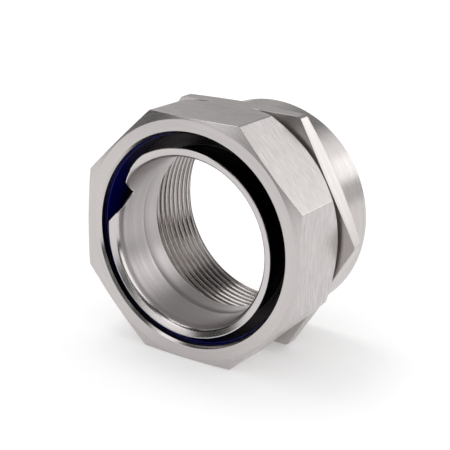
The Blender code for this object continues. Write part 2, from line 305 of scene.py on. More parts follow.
def direction(vectors):
    """Vectors of length 1, and the lengths that they had."""
    lengths = np.linalg.norm(vectors, axis=1, keepdims=True)
    return vectors / np.maximum(lengths, 1e-9), lengths


def soften(corners):
    """Rows of (place, angles, zone) that follow the outline, with every soft corner made round.

    Each row's zone is the finish of the strip that follows it.
    """
    rows = []
    for k, this in enumerate(corners):
        place = this["place"]
        angles = this["angles"]
        last_zone = corners[k - 1]["zone"]
        if this["soft"].max() <= 0:
            rows.append((place, angles, this["zone"]))
            continue
        back, back_length = direction(corners[k - 1]["place"] - place)
        ahead, ahead_length = direction(corners[(k + 1) % len(corners)]["place"] - place)
        size = np.minimum(this["soft"], ROUNDING_SHARE * np.minimum(back_length, ahead_length))
        opening = np.arccos(np.clip((back * ahead).sum(1, keepdims=True), -1.0, 1.0))
        middle = direction(back + ahead)[0]
        centre = place + middle * (size / np.maximum(np.cos(opening / 2), 1e-3))
        start = place + back * size - centre
        end = place + ahead * size - centre
        sweep = math.pi - opening
        straight = sweep < 1e-3
        bend = np.sin(np.maximum(sweep, 1e-6))
        margin = np.minimum(GUARD_MOST, GUARD_GROWTH * size + GUARD_LEAST)
        back_guard, ahead_guard = (
            np.maximum(np.minimum(margin, GUARDED_SHARE * side - size), 0.0)
            for side in (back_length, ahead_length))
        rows.append((place + back * (size + back_guard), angles, last_zone))
        for i in range(this["steps"] + 1):
            part = i / this["steps"]
            first = np.where(straight, 1 - part, np.sin((1 - part) * sweep) / bend)
            last = np.where(straight, part, np.sin(part * sweep) / bend)
            zone = last_zone if part < 0.5 else this["zone"]
            rows.append((centre + start * first + end * last, angles, zone))
        rows.append((place + ahead * (size + ahead_guard), angles, this["zone"]))
    return rows


def loft(rows, axis_z):
    """A bmesh lofted through closed rows round the axis, open where a strip's zone is GAP."""
    bm = bmesh.new()
    rings = []
    for place, angles, _ in rows:
        x = place[:, 0] * np.cos(angles)
        z = place[:, 0] * np.sin(angles) + axis_z
        y = place[:, 1] + FACE_Y
        rings.append([bm.verts.new(co) for co in zip(x.tolist(), y.tolist(), z.tolist())])
    for k, (_, _, zone) in enumerate(rows):
        if zone == GAP:
            continue
        here = rings[k]
        following = rings[(k + 1) % len(rings)]
        for i in range(len(here)):
            face = bm.faces.new((here[i - 1], here[i], following[i], following[i - 1]))
            face.material_index = zone
    return bm


def add_mesh(bm, mesh, zone):
    """Adds a mesh to a bmesh with one finish."""
    known = len(bm.faces)
    bm.from_mesh(mesh)
    bm.faces.ensure_lookup_table()
    for face in bm.faces[known:]:
        face.material_index = zone


def settle(name, bm, materials, body, node):
    """Closes the bmesh, makes it the piece that stands for a solid and gives it its finishes."""
    bmesh.ops.remove_doubles(bm, verts=bm.verts, dist=WELD)
    bmesh.ops.dissolve_degenerate(bm, edges=bm.edges, dist=WELD / 4)
    bmesh.ops.recalc_face_normals(bm, faces=bm.faces)
    open_edges = sum(1 for edge in bm.edges if len(edge.link_faces) != 2)
    if open_edges:
        raise RuntimeError(f"{name} has {open_edges} open edges")
    if bm.calc_volume(signed=True) < 0:
        bmesh.ops.reverse_faces(bm, faces=bm.faces)
    mesh = bpy.data.meshes.new(name)
    bm.to_mesh(mesh)
    bm.free()
    for mat in materials:
        mesh.materials.append(mat)
    mesh.shade_smooth()
    piece = bpy.data.objects.new(name, mesh)
    bpy.context.scene.collection.objects.link(piece)
    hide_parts(node)
    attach(piece, body)


# Node trees

def feed(tree, node, inputs):
    """Gives a node's inputs values, or links them to other nodes' outputs."""
    for name, value in dict(inputs).items():
        if isinstance(value, bpy.types.NodeSocket):
            tree.links.new(value, node.inputs[name])
        else:
            node.inputs[name].default_value = value


def add_node(tree, kind, inputs=(), **settings):
    """A new node with its settings and its inputs."""
    node = tree.nodes.new(kind)
    for name, value in settings.items():
        setattr(node, name, value)
    feed(tree, node, inputs)
    return node


def math_node(tree, operation, *values):
    """The output of a Math node whose inputs are numbers or other nodes' outputs."""
    return add_node(tree, "ShaderNodeMath", enumerate(values), operation=operation).outputs[0]


# Threads

THREAD_INPUTS = (
    "Crest Radius", "Thread Depth", "Pitch", "Crest Width", "First Depth", "First Cut", "First Slope",
    "Last Depth", "Last Cut", "Last Slope", "Fade Length", "Outward Cut", "Columns", "Rows per Pitch")


def thread_tree():
    """Geometry Nodes tree for a right-handed thread on the coupling's axis.

    A grid's rows follow the helix, so that the crest stays crisp, and are held back at the first
    and the last depth. A run-out at each end cuts down to the neighbouring groove or chamfer.
    """
    tree = bpy.data.node_groups.new("Screw thread", "GeometryNodeTree")
    tree.interface.new_socket("Thread", in_out="OUTPUT", socket_type="NodeSocketGeometry")
    for name in THREAD_INPUTS:
        tree.interface.new_socket(name, in_out="INPUT", socket_type="NodeSocketFloat")
    given = tree.nodes.new("NodeGroupInput").outputs
    (crest, height, pitch, crest_width, first, first_cut, first_slope, last, last_cut, last_slope,
     fade, outward, columns, per_pitch) = given[:len(THREAD_INPUTS)]

    def calc(operation, *values):
        return math_node(tree, operation, *values)

    turns = calc("CEIL", calc("DIVIDE", calc("SUBTRACT", last, first), pitch))
    steps = calc("MULTIPLY", calc("ADD", turns, 1.0), per_pitch)
    grid = add_node(tree, "GeometryNodeMeshGrid", {
        "Size X": steps, "Size Y": columns,
        "Vertices X": calc("ADD", steps, 1.0), "Vertices Y": calc("ADD", columns, 1.0)})
    place = add_node(tree, "GeometryNodeInputPosition").outputs[0]
    grid_x, grid_y, _ = add_node(tree, "ShaderNodeSeparateXYZ", {0: place}).outputs
    row = calc("ROUND", calc("ADD", grid_x, calc("DIVIDE", steps, 2.0)))
    column = calc("ROUND", calc("ADD", grid_y, calc("DIVIDE", columns, 2.0)))

    turn = calc("DIVIDE", column, columns)
    lift = calc("SUBTRACT", calc("DIVIDE", row, per_pitch), turn)
    raw = calc("ADD", first, calc("MULTIPLY", lift, pitch))
    depth = calc("MINIMUM", calc("MAXIMUM", raw, first), last)
    past_first = calc("SUBTRACT", depth, first)
    before_last = calc("SUBTRACT", last, depth)
    phase = calc("FRACT", calc("ADD", calc("DIVIDE", past_first, pitch), turn))
    ridge = calc("ABSOLUTE", calc("SUBTRACT", calc("MULTIPLY", phase, 2.0), 1.0))
    limits = {"Value": ridge, "From Min": crest_width, "From Max": calc("SUBTRACT", 1.0, crest_width)}
    straight, curved = (
        add_node(tree, "ShaderNodeMapRange", limits, interpolation_type=kind).outputs["Result"]
        for kind in ("LINEAR", "SMOOTHSTEP"))
    flank = calc("MULTIPLY", calc("ADD", straight, curved), 0.5)
    fade_in = calc("MINIMUM", calc("DIVIDE", past_first, fade), 1.0)
    fade_out = calc("MINIMUM", calc("DIVIDE", before_last, fade), 1.0)
    faded = calc("MULTIPLY", calc("MULTIPLY", flank, fade_in), fade_out)
    run_in = calc("SUBTRACT", first_cut, calc("MULTIPLY", past_first, first_slope))
    run_out = calc("SUBTRACT", last_cut, calc("MULTIPLY", before_last, last_slope))
    cut = calc("MAXIMUM", calc("MULTIPLY", faded, height), calc("MAXIMUM", run_in, run_out))
    radius = calc("ADD", crest, calc("MULTIPLY", cut, outward))

    bearing = calc("MULTIPLY", turn, math.tau)
    joined = add_node(tree, "ShaderNodeCombineXYZ", {
        "X": calc("MULTIPLY", radius, calc("COSINE", bearing)),
        "Y": calc("ADD", depth, FACE_Y),
        "Z": calc("ADD", calc("MULTIPLY", radius, calc("SINE", bearing)), AXIS_Z)})
    moved = add_node(tree, "GeometryNodeSetPosition", {
        "Geometry": grid.outputs["Mesh"], "Position": joined.outputs[0]})
    welded = add_node(tree, "GeometryNodeMergeByDistance", {
        "Geometry": moved.outputs[0], "Distance": WELD})
    add_node(tree, "NodeGroupOutput", {"Thread": welded.outputs[0]})
    return tree


def thread_mesh(radius, height, pitch, crest_width, first, last, fade, outward, columns, rows):
    """The surface of a thread, as a plain mesh.

    The radius is its crest's, and the height is its depth. First and last give the depth, cut and
    slope of its run-outs. Outward is 1 for a thread cut into a bore and -1 for one on a barrel.
    """
    tree = bpy.data.node_groups.get("Screw thread") or thread_tree()
    values = (radius, height, pitch, crest_width, *first, *last, fade, outward, columns, rows)
    sizes = dict(zip(THREAD_INPUTS, values))
    carrier = bpy.data.objects.new("thread_carrier", bpy.data.meshes.new("thread_carrier"))
    bpy.context.scene.collection.objects.link(carrier)
    modifier = carrier.modifiers.new("Screw thread", "NODES")
    modifier.node_group = tree
    for item in tree.interface.items_tree:
        if item.in_out == "INPUT":
            modifier[item.identifier] = float(sizes[item.name])
    graph = bpy.context.evaluated_depsgraph_get()
    mesh = bpy.data.meshes.new_from_object(carrier.evaluated_get(graph))
    bpy.data.objects.remove(carrier, do_unlink=True)
    if not mesh.polygons:
        raise RuntimeError("the thread has no faces")
    return mesh


# Finishes

class Finish:
    """Builds one node material step by step."""

    def __init__(self, name):
        self.mat = bpy.data.materials.new(name)
        self.mat.use_nodes = True
        self.tree = self.mat.node_tree
        self.shader = self.tree.nodes["Principled BSDF"]

    def node(self, kind, inputs=(), **settings):
        return add_node(self.tree, kind, inputs, **settings)

    def calc(self, operation, *values):
        return math_node(self.tree, operation, *values)

    def surface(self, inputs):
        """Sets or links inputs of the material's shader."""
        feed(self.tree, self.shader, inputs)

    def object_place(self):
        return self.node("ShaderNodeTexCoord").outputs["Object"]

    def axis_parts(self):
        """X, depth, height and radius of a point, counted from the axis at the nut's face."""
        centred = self.node("ShaderNodeMapping", {
            "Vector": self.object_place(), "Location": (0.0, -FACE_Y, -AXIS_Z)})
        x, y, z = self.node("ShaderNodeSeparateXYZ", {0: centred.outputs["Vector"]}).outputs
        square = self.calc("ADD", self.calc("MULTIPLY", x, x), self.calc("MULTIPLY", z, z))
        return x, y, z, self.calc("SQRT", square)

    def noise(self, place, scale, detail, roughness=0.5):
        """Noise about 0.5, read at a place."""
        return self.node("ShaderNodeTexNoise", {
            "Vector": place, "Scale": scale, "Detail": detail, "Roughness": roughness}).outputs["Fac"]

    def grain(self, across, along_a, along_b, fine, coarse):
        """Noise with close lines across one coordinate and long runs along the other two."""
        joined = self.node("ShaderNodeCombineXYZ", {
            "X": self.calc("MULTIPLY", across, fine), "Y": self.calc("MULTIPLY", along_a, coarse),
            "Z": self.calc("MULTIPLY", along_b, coarse)})
        return self.noise(joined.outputs[0], 1.0, 2.0, 0.6)

    def clouds(self, scale, detail):
        """Soft noise of one size in all directions."""
        return self.noise(self.object_place(), scale, detail)

    def weigh(self, first, second, part):
        """A mix of two values that holds the given part of the second."""
        return self.calc("ADD", self.calc("MULTIPLY", first, 1.0 - part),
                         self.calc("MULTIPLY", second, part))

    def spread(self, value, low, high, from_low=0.25, from_high=0.75):
        """Stretches the range from_low..from_high to low..high and stops at its ends."""
        return self.node("ShaderNodeMapRange", {
            "Value": value, "From Min": from_low, "From Max": from_high,
            "To Min": low, "To Max": high}).outputs["Result"]

    def blend_colours(self, factor, first, second):
        return self.node("ShaderNodeMix", {
            "Factor": factor, "A": (*first, 1.0), "B": (*second, 1.0)}, data_type="RGBA").outputs["Result"]

    def relief(self, height, strength, distance):
        bump = self.node("ShaderNodeBump", {
            "Height": height, "Strength": strength, "Distance": distance})
        self.surface({"Normal": bump.outputs["Normal"]})

    def round_grain(self, amount):
        """Stretches highlights across lines that run round the axis."""
        tangent = self.node("ShaderNodeTangent", direction_type="RADIAL", axis="Y")
        self.surface({"Anisotropic": amount, "Anisotropic Rotation": 0.25,
                      "Tangent": tangent.outputs["Tangent"]})


def tinted(base, *factors):
    """A colour with its channels multiplied by one factor, or by one factor each."""
    return tuple(min(channel * factor, 1.0) for channel, factor in zip(base, factors * 3))


def steel(name, base, roughness, lines, contrast, relief, stretch, fine=5200.0, coarse=45.0, broad=0.45):
    """Turned or brushed steel. Lines follow circles at one depth, or at one radius on a face.

    Contrast and relief are the strengths of the lines, and stretch is that of the highlights'
    stretching. Fine and coarse are the lines' frequencies across and along, per metre, and broad is
    the part that wide bands take in them.
    """
    made = Finish(name)
    x, y, z, radius = made.axis_parts()
    across = y if lines == "depth" else radius
    hair = made.grain(across, x, z, fine, coarse)
    band = made.grain(across, x, z, fine * 0.17, coarse * 0.4)
    mixed = made.weigh(hair, band, broad)
    shade = made.weigh(mixed, made.clouds(70.0, 4.0), 0.2)
    dark = tinted(base, 1.0 - contrast)
    light = tinted(base, 1.0 + contrast)
    made.surface({
        "Base Color": made.blend_colours(made.spread(shade, 0.0, 1.0, 0.32, 0.68), dark, light),
        "Roughness": made.spread(shade, roughness * 1.18, roughness * 0.84, 0.3, 0.7),
        "Metallic": 1.0})
    made.round_grain(stretch)
    made.relief(mixed, relief, 0.00002)
    return made.mat


def thread_steel(name, base, roughness, crest, root):
    """Steel with painted shade, dark and slightly brown, in the thread roots."""
    made = Finish(name)
    x, y, z, radius = made.axis_parts()
    hair = made.grain(radius, x, z, 6000.0, 60.0)
    chatter = made.grain(made.calc("ARCTAN2", z, x), y, radius, 38.0, 400.0)
    shade_jitter = made.spread(made.weigh(hair, chatter, 0.5), -0.2, 0.2, 0.3, 0.7)
    height = root - crest
    # Painted shade: the colour darkens from the crest towards the roots, and grain noise breaks up where the
    # darkening starts
    root_shade = made.spread(radius, 0.0, 1.0, crest + height * 0.25, crest + height * 0.85)
    root_shade_mask = made.node("ShaderNodeClamp", {"Value": made.calc("ADD", root_shade, shade_jitter)})
    dark = tinted(base, 0.18, 0.14, 0.11)
    made.surface({
        "Base Color": made.blend_colours(root_shade_mask.outputs[0], base, dark),
        "Roughness": made.spread(hair, roughness * 1.25, roughness * 0.8),
        "Metallic": 1.0})
    made.relief(chatter, 0.25, 0.00004)
    return made.mat


def nylon(name, base):
    """Glossy dark nylon with faint moulding flow."""
    made = Finish(name)
    flow = made.spread(made.clouds(260.0, 3.0), 0.0, 1.0)
    fine = made.clouds(2400.0, 2.0)
    made.surface({
        "Base Color": made.blend_colours(flow, tinted(base, 0.75), tinted(base, 1.3)),
        "Roughness": made.spread(fine, 0.14, 0.26),
        "IOR": 1.53,
        "Specular IOR Level": 0.3})
    made.relief(fine, 0.08, 0.00002)
    return made.mat


# Pieces

# Widths of the nicks in degrees, and what they add to an edge's rounding
NICK_WIDTHS = (0.3, 1.3)
NICK_SIZES = (0.00005, 0.00028)


def nicked(size, angles, count, seed):
    """Edge rounding that grows at a number of small nicks, one value for each column."""
    places = np.random.RandomState(seed)
    soft = np.full(len(angles), size)
    for _ in range(count):
        centre = places.uniform(0.0, math.tau)
        width = math.radians(places.uniform(*NICK_WIDTHS))
        grown = places.uniform(*NICK_SIZES)
        apart = np.angle(np.exp(1j * (angles - centre)))
        soft = soft + grown * np.exp(-(apart / width) ** 2)
    return soft


class COUPLING_OT_nut(bpy.types.Operator):
    """Build the octagonal compression nut with its mouth, corner cones and thread"""
    bl_idname = "coupling.nut"
    bl_label = "Compression Nut"

    def execute(self, context):
        size = context.scene.hose_coupling_nut
        screw = context.scene.hose_coupling_threads
        look = context.scene.hose_coupling_finish
        base = tuple(look.nut_colour)
        chamfer = 0.0007
        step = 0.0001
        last = size.nut_length - step
        apothem = size.across_flats / 2
        face_radius = apothem - size.face_margin
        back_radius = apothem - size.back_margin
        edge, octagon = cornered_columns(NUT_COLUMNS, 8, 0.0, apothem, size.corner_round)
        level = round_columns(NUT_COLUMNS, edge[0])
        front_edge = (octagon - face_radius) * math.tan(size.face_angle)
        back_edge = size.nut_length - (octagon - back_radius) * math.tan(size.back_angle)
        seat_depth = size.mouth_depth + size.bore_radius - size.mouth_radius
        face, cone, flat, mouth, inside = range(5)
        corners = [
            corner(size.mouth_radius + size.mouth_chamfer, 0.0, level, 0.00007, face),
            corner(face_radius, 0.0, edge, 0.00012, cone),
            corner(octagon, front_edge, edge, nicked(0.00013, edge, size.nicks, 5), flat),
            corner(octagon, back_edge, edge, nicked(0.0003, edge, size.nicks, 8), cone),
            corner(back_radius, size.nut_length, edge, 0.0001, face),
            corner(size.bore_radius + chamfer, size.nut_length, level, 0.00004, inside),
            corner(size.bore_radius + chamfer - step, last, level, 0.0, GAP),
            corner(size.bore_radius, size.thread_start, level, 0.0, inside),
            corner(size.bore_radius, seat_depth, level, 0.0001, mouth),
            corner(size.mouth_radius, size.mouth_depth, level, 0.00006, mouth),
            corner(size.mouth_radius, size.mouth_chamfer, level, 0.00006, mouth),
        ]
        bm = loft(soften(corners), AXIS_Z)
        thread = thread_mesh(
            size.bore_radius, screw.nut_depth, screw.nut_pitch, screw.flat_share,
            first=(size.thread_start, 0.0, 1.0), last=(last, chamfer - step, 1.0),
            fade=0.0008, outward=1.0, columns=NUT_COLUMNS, rows=8)
        add_mesh(bm, thread, inside)
        finishes = [
            steel("Nut face, turned", base, look.roughness, "radius", 0.05, 0.18, 0.55, 4200.0, 60.0),
            # Painted shade: the corner cones' steel is painted 4% darker than the face's
            steel("Nut corner cones, turned", tinted(base, 0.96), look.roughness * 0.9,
                  "radius", 0.05, 0.2, 0.7),
            steel("Nut flats, brushed", base, look.roughness * 1.05, "depth",
                  0.22, 0.6, 0.5, 5600.0, 300.0, 0.2),
            steel("Nut mouth, turned", base, look.roughness * 0.7, "depth", 0.05, 0.15, 0.6),
            steel("Nut inside, turned", base, look.roughness, "depth", 0.08, 0.2, 0.6),
        ]
        settle("nut_octagon", bm, finishes, "nut", "compression_nut")
        return {"FINISHED"}


class COUPLING_OT_body(bpy.types.Operator):
    """Build the coupling body with barrel, hexagon, pipe socket and both threads"""
    bl_idname = "coupling.body"
    bl_label = "Coupling Body"

    def execute(self, context):
        size = context.scene.hose_coupling_body
        screw = context.scene.hose_coupling_threads
        look = context.scene.hose_coupling_finish
        base = tuple(look.body_colour)
        barrel_chamfer = 0.001
        socket_chamfer = 0.0004
        hex_margin = 0.0001
        entry = 0.0015
        step = 0.00005
        sliver = 0.00001
        nicks = 16
        edge, hexagon = cornered_columns(
            BODY_COLUMNS, 6, math.radians(30.0), size.hex_apothem, trim=size.hex_corner)
        level = round_columns(BODY_COLUMNS, edge[0])
        front = size.barrel_front
        back = front + size.body_length
        shoulder = front + size.throat_length
        lead = size.lead * np.maximum(-np.sin(level), 0.0)
        hex_back = size.hex_front + size.hex_thickness
        trim_radius = np.minimum(size.hex_apothem + hex_margin, hexagon - sliver * 2)
        trim_depth = hex_back - (hexagon - trim_radius) * math.tan(size.hex_back_angle)
        groove_rise = (size.barrel_radius - size.groove_radius) / 2
        groove_end = size.hex_front - size.groove_length + groove_rise
        run_out = screw.pipe_depth / 2
        first = shoulder + size.relief_length - run_out
        relief_cut = size.relief_radius - screw.pipe_radius
        wall, face, flat, throat, socket, pipe_thread = range(6)
        corners = [
            corner(size.barrel_radius - barrel_chamfer, front, level, 0.00003, wall),
            corner(size.barrel_radius - barrel_chamfer + step, front + step, level, 0.0, GAP),
            corner(size.groove_radius, groove_end, level, 0.0, wall),
            corner(size.groove_radius, size.hex_front, level, 0.0001, face),
            corner(hexagon, size.hex_front, edge, nicked(0.00012, edge, nicks, 3), flat),
            corner(hexagon, trim_depth, edge, nicked(0.00012, edge, nicks, 4), face),
            corner(trim_radius, hex_back, edge, 0.0001, face),
            corner(size.socket_radius, hex_back, level, 0.00015, wall),
            corner(size.socket_radius, back - socket_chamfer, level, 0.00012, wall),
            corner(size.socket_radius - socket_chamfer, back, level, 0.00012, face),
            corner(screw.pipe_radius + entry, back, level, 0.00003, socket),
            corner(screw.pipe_radius + entry - step, back - step, level, 0.0, GAP),
            corner(size.relief_radius, first, level, 0.0, socket),
            corner(size.relief_radius, shoulder, level, 0.0002, socket),
            corner(size.bore_radius, shoulder, level, size.throat_round, throat, 10),
            corner(size.bore_radius, front + size.lead_length, level, 0.0005, throat),
            corner(size.bore_radius + lead, front + sliver * 2, level, 0.0, throat),
            corner(size.bore_radius + lead + sliver, front, level, 0.0, face),
        ]
        bm = loft(soften(corners), AXIS_Z)
        barrel = thread_mesh(
            size.barrel_radius, screw.nut_depth, screw.nut_pitch, screw.flat_share,
            first=(front + step, barrel_chamfer - step, 1.0),
            last=(groove_end, size.barrel_radius - size.groove_radius, 2.0),
            fade=0.0002, outward=-1.0, columns=BODY_COLUMNS, rows=8)
        add_mesh(bm, barrel, wall)
        pipe = thread_mesh(
            screw.pipe_radius, screw.pipe_depth, screw.pipe_pitch, screw.flat_share,
            first=(first, relief_cut, relief_cut / run_out), last=(back - step, entry - step, 1.0),
            fade=0.0003, outward=1.0, columns=BODY_COLUMNS, rows=12)
        add_mesh(bm, pipe, pipe_thread)
        finishes = [
            steel("Socket outside, turned", base, look.roughness * 0.9, "depth", 0.07, 0.2, 0.85),
            steel("Hexagon faces, turned", base, look.roughness, "radius", 0.07, 0.2, 0.6),
            steel("Hexagon flats, milled", base, look.roughness, "depth", 0.08, 0.25, 0.6),
            steel("Throat, turned", tuple(look.ferrule_colour), look.roughness * 1.4, "depth",
                  0.07, 0.20, 0.4, 2600.0, 12.0),
            steel("Socket inside, turned", base, look.roughness, "radius", 0.07, 0.2, 0.6),
            thread_steel("Pipe thread, cut", base, look.roughness * 0.42, screw.pipe_radius,
                         screw.pipe_radius + screw.pipe_depth),
        ]
        settle("coupling_body", bm, finishes, "fitting", "body")
        return {"FINISHED"}


class COUPLING_OT_ring(bpy.types.Operator):
    """Build the nylon sealing ring"""
    bl_idname = "coupling.ring"
    bl_label = "Sealing Ring"

    def execute(self, context):
        size = context.scene.hose_coupling_ring
        look = context.scene.hose_coupling_finish
        level = round_columns(RING_COLUMNS)
        front = size.front
        back = front + size.ring_length
        cone = size.bore_radius + size.face_width
        corners = [
            corner(size.bore_radius, front, level, size.rim * 0.5, 0, 8),
            corner(cone, front, level, size.rim * 0.5, 0, 8),
            corner(size.outer_radius, front + size.outer_radius - cone, level, 0.0002, 0),
            corner(size.outer_radius, back - size.chamfer, level, 0.0002, 0),
            corner(size.outer_radius - size.chamfer, back, level, 0.0002, 0),
            corner(size.bore_radius, back, level, 0.0002, 0),
        ]
        bm = loft(soften(corners), AXIS_Z)
        finishes = [nylon("Nylon, dark blue", tuple(look.nylon_colour))]
        settle("sealing_ring_nylon", bm, finishes, "seal", "sealing_ring")
        return {"FINISHED"}


# Angles of the notch where the lip's two ends meet, in degrees
LIP_START = 160.0
LIP_TAPER = 121.0
NOTCH_TIP = 145.3
NOTCH_LEFT = 157.8
NOTCH_RIGHT = 159.6
NOTCH_BEND = 170.6
LIP_END = 178.0

# Powers that bend the tongue's taper, the notch's left side, its right side and the tongue's opening
TAPER_CURVE = 1.3
NOTCH_CURVE = 1.3
LOW_CURVE = 1.15
OPENING_CURVE = 1.5

# Steps along the flare, along the bend and round an edge, and how many rows belong to the bore
FLARE_STEPS = 10
BEND_STEPS = 6
EDGE_STEPS = 4
BORE_ROWS = 10

# Distance of a guard row from a bend, and between rows that close up under the rim
SHEET_GUARD = 0.0001
CLOSED_ROW = 0.000025


def part_way(turn, first, last):
    """How far an angle lies on the way from the first to the last, as a share."""
    return (turn - first) / (last - first)


def quarter(radius, k):
    """How far a rounding's point k lies inside each of the corner's two sides."""
    bend = math.radians(90.0 * k / EDGE_STEPS)
    return radius * (1 - math.cos(bend)), radius * (1 - math.sin(bend))


def lip_opening(size, turn):
    """Straight length between the flare and the bend, which grows towards the tip of the tongue."""
    if LIP_TAPER < turn < NOTCH_LEFT:
        return size.opening * min(part_way(turn, LIP_TAPER, NOTCH_TIP), 1.0) ** OPENING_CURVE
    return 0.0


def sheet_point(size, height, offset, opening=0.0):
    """Radius of a point on the bent sheet, and how far in front of the flare's start it lies.

    The height runs along the sheet's middle from the flare's start, the offset counts outwards from it.
    """
    middle = size.bore_radius + size.wall / 2
    if height <= 0:
        return middle + offset, height
    flare = size.lip_flare * size.flare_angle
    if height < flare:
        turn = height / size.lip_flare
        reach = size.lip_flare - offset
        return middle + size.lip_flare - reach * math.cos(turn), reach * math.sin(turn)
    before = min(height - flare, opening)
    past = height - flare - before
    turn = min(size.flare_angle + past / size.lip_bend, size.lip_angle)
    straight = max(past - size.lip_bend * (size.lip_angle - size.flare_angle), 0.0)
    radius = middle + size.lip_flare - (size.lip_flare - size.lip_bend) * math.cos(size.flare_angle)
    radius += before * math.sin(size.flare_angle)
    front = (size.lip_flare - size.lip_bend) * math.sin(size.flare_angle)
    front += before * math.cos(size.flare_angle)
    radius += straight * math.sin(turn) - (size.lip_bend - offset) * math.cos(turn)
    front += straight * math.cos(turn) + (size.lip_bend - offset) * math.sin(turn)
    return radius, front


def bent_length(size):
    """Length of the sheet's middle in the flare and the bend."""
    return size.lip_flare * size.flare_angle + size.lip_bend * (size.lip_angle - size.flare_angle)


def lip_sheet(size):
    """Length of the sheet's middle from the flare's start to the lip's rim."""
    reach = size.lip_radius - sheet_point(size, bent_length(size), 0.0)[0]
    return bent_length(size) + reach / math.sin(size.lip_angle)


def lean(size, offset):
    """How much lower the sheet ends at an offset, so that the lip's rim is parallel to the axis."""
    return offset / math.tan(size.lip_angle)


def flare_start(size, turn):
    """Height in front of the nut's face at which the tube starts to flare."""
    gone = ((LIP_START - turn) % 360.0) / 360.0
    front = -size.wall / 2
    rise = sheet_point(size, lip_sheet(size) - lean(size, front), front)[1]
    return size.lip_proud - size.lip_pitch * gone - rise


def rim_height(size, turn):
    """Where the sheet ends before it is bent out: full height, taper, notch and back."""
    full = flare_start(size, turn) + lip_sheet(size)
    tip = flare_start(size, NOTCH_TIP) + size.tip_rise
    low = flare_start(size, NOTCH_BEND) + size.bend_rise
    floor = -size.notch_depth
    if LIP_TAPER <= turn <= NOTCH_TIP:
        fall = flare_start(size, turn) + size.tip_rise - full
        return full + part_way(turn, LIP_TAPER, NOTCH_TIP) ** TAPER_CURVE * fall
    if NOTCH_TIP < turn < NOTCH_LEFT:
        return tip + part_way(turn, NOTCH_TIP, NOTCH_LEFT) ** NOTCH_CURVE * (floor - tip)
    if NOTCH_LEFT <= turn <= NOTCH_RIGHT:
        return floor
    if NOTCH_RIGHT < turn < NOTCH_BEND:
        return floor + part_way(turn, NOTCH_RIGHT, NOTCH_BEND) ** LOW_CURVE * (low - floor)
    if NOTCH_BEND <= turn < LIP_END:
        rise = flare_start(size, LIP_END) + lip_sheet(size) - low
        return low + part_way(turn, NOTCH_BEND, LIP_END) * rise
    return full


def sheet_side(size, low, rim, offset, opening):
    """Points on one side of the sheet, from the tube's straight part up to the edge at its rim.

    Rows that would lie above the rim close up underneath it.
    """
    top = rim - lean(size, offset) - size.lip_edge
    full = lip_sheet(size) - lean(size, offset) - size.lip_edge
    flare = size.lip_flare * size.flare_angle
    bend = size.lip_bend * (size.lip_angle - size.flare_angle)
    bent = flare + opening
    stops = [low, low * 0.5, -SHEET_GUARD]
    stops += [flare * k / FLARE_STEPS for k in range(FLARE_STEPS + 1)]
    stops += [bent + bend * k / BEND_STEPS for k in range(1, BEND_STEPS + 1)]
    stops += [bent + bend + SHEET_GUARD, full - SHEET_GUARD, full]
    last = len(stops) - 1
    rows = [min(stop, top - (last - k) * CLOSED_ROW) for k, stop in enumerate(stops)]
    return [sheet_point(size, height, offset, opening) for height in rows]


def ferrule_outline(size, turn):
    """Closed outline of the ferrule at one angle, as (radius, depth, zone)."""
    start = flare_start(size, turn)
    rim = rim_height(size, turn) - start
    low = -size.notch_depth - size.wall - start
    half = size.wall / 2
    bore, lip, outside, flange, back = range(5)
    opening = lip_opening(size, turn)
    side = sheet_side(size, low, rim, -half, opening)
    points = [(*spot, bore if k < BORE_ROWS else lip) for k, spot in enumerate(side)]
    upwards = range(1, EDGE_STEPS + 1)
    for offset, steps in ((-1.0, upwards), (1.0, reversed(upwards))):
        top = rim - lean(size, offset * half)
        for k in steps:
            inward, down = quarter(size.lip_edge, k)
            height = top - down + offset * lean(size, inward)
            points.append((*sheet_point(size, height, offset * (half - inward), opening), lip))
    side = sheet_side(size, low, rim, half, opening)
    points += [(*spot, outside) for spot in reversed(side)]
    points = [(radius, -start - front, zone) for radius, front, zone in points]
    outer = size.bore_radius + size.wall
    front = size.flange_front
    points.append((outer, front - size.flange_foot - SHEET_GUARD, outside))
    for k in range(EDGE_STEPS + 1):
        outward, forward = quarter(size.flange_foot, k)
        points.append((outer + outward, front - forward, flange))
    soft = 0.00004
    return points + [
        (outer + size.flange_foot + SHEET_GUARD, front, flange),
        (size.flange_radius - soft * 2, front, flange),
        (size.flange_radius - soft, front, flange),
        (size.flange_radius - soft * 0.3, front + soft * 0.3, back),
        (size.flange_radius, front + soft, back),
        (size.flange_radius, size.flange_back - soft, back),
        (size.flange_radius - soft, size.flange_back, back),
        (size.bore_radius + soft / 4, size.flange_back, back),
        (size.bore_radius, size.flange_back - soft / 4, bore),
        (size.bore_radius, size.flange_back - soft, bore),
    ]


def ferrule_turns(count):
    """Angles of the sections: even, and closer together from the taper to the notch's end."""
    coarse = 360.0 / count
    fine = coarse / 3
    plain = round((LIP_TAPER - LIP_END + 360.0) / coarse)
    close = round((LIP_END - LIP_TAPER) / fine)
    first = np.linspace(LIP_END - 360.0, LIP_TAPER, plain, endpoint=False)
    marks = np.array([NOTCH_TIP, NOTCH_LEFT, NOTCH_RIGHT, NOTCH_BEND])
    second = np.linspace(LIP_TAPER, LIP_END - 0.02, close)
    for mark in marks:
        second[np.argmin(abs(second - mark))] = mark
    return np.concatenate((first, second))


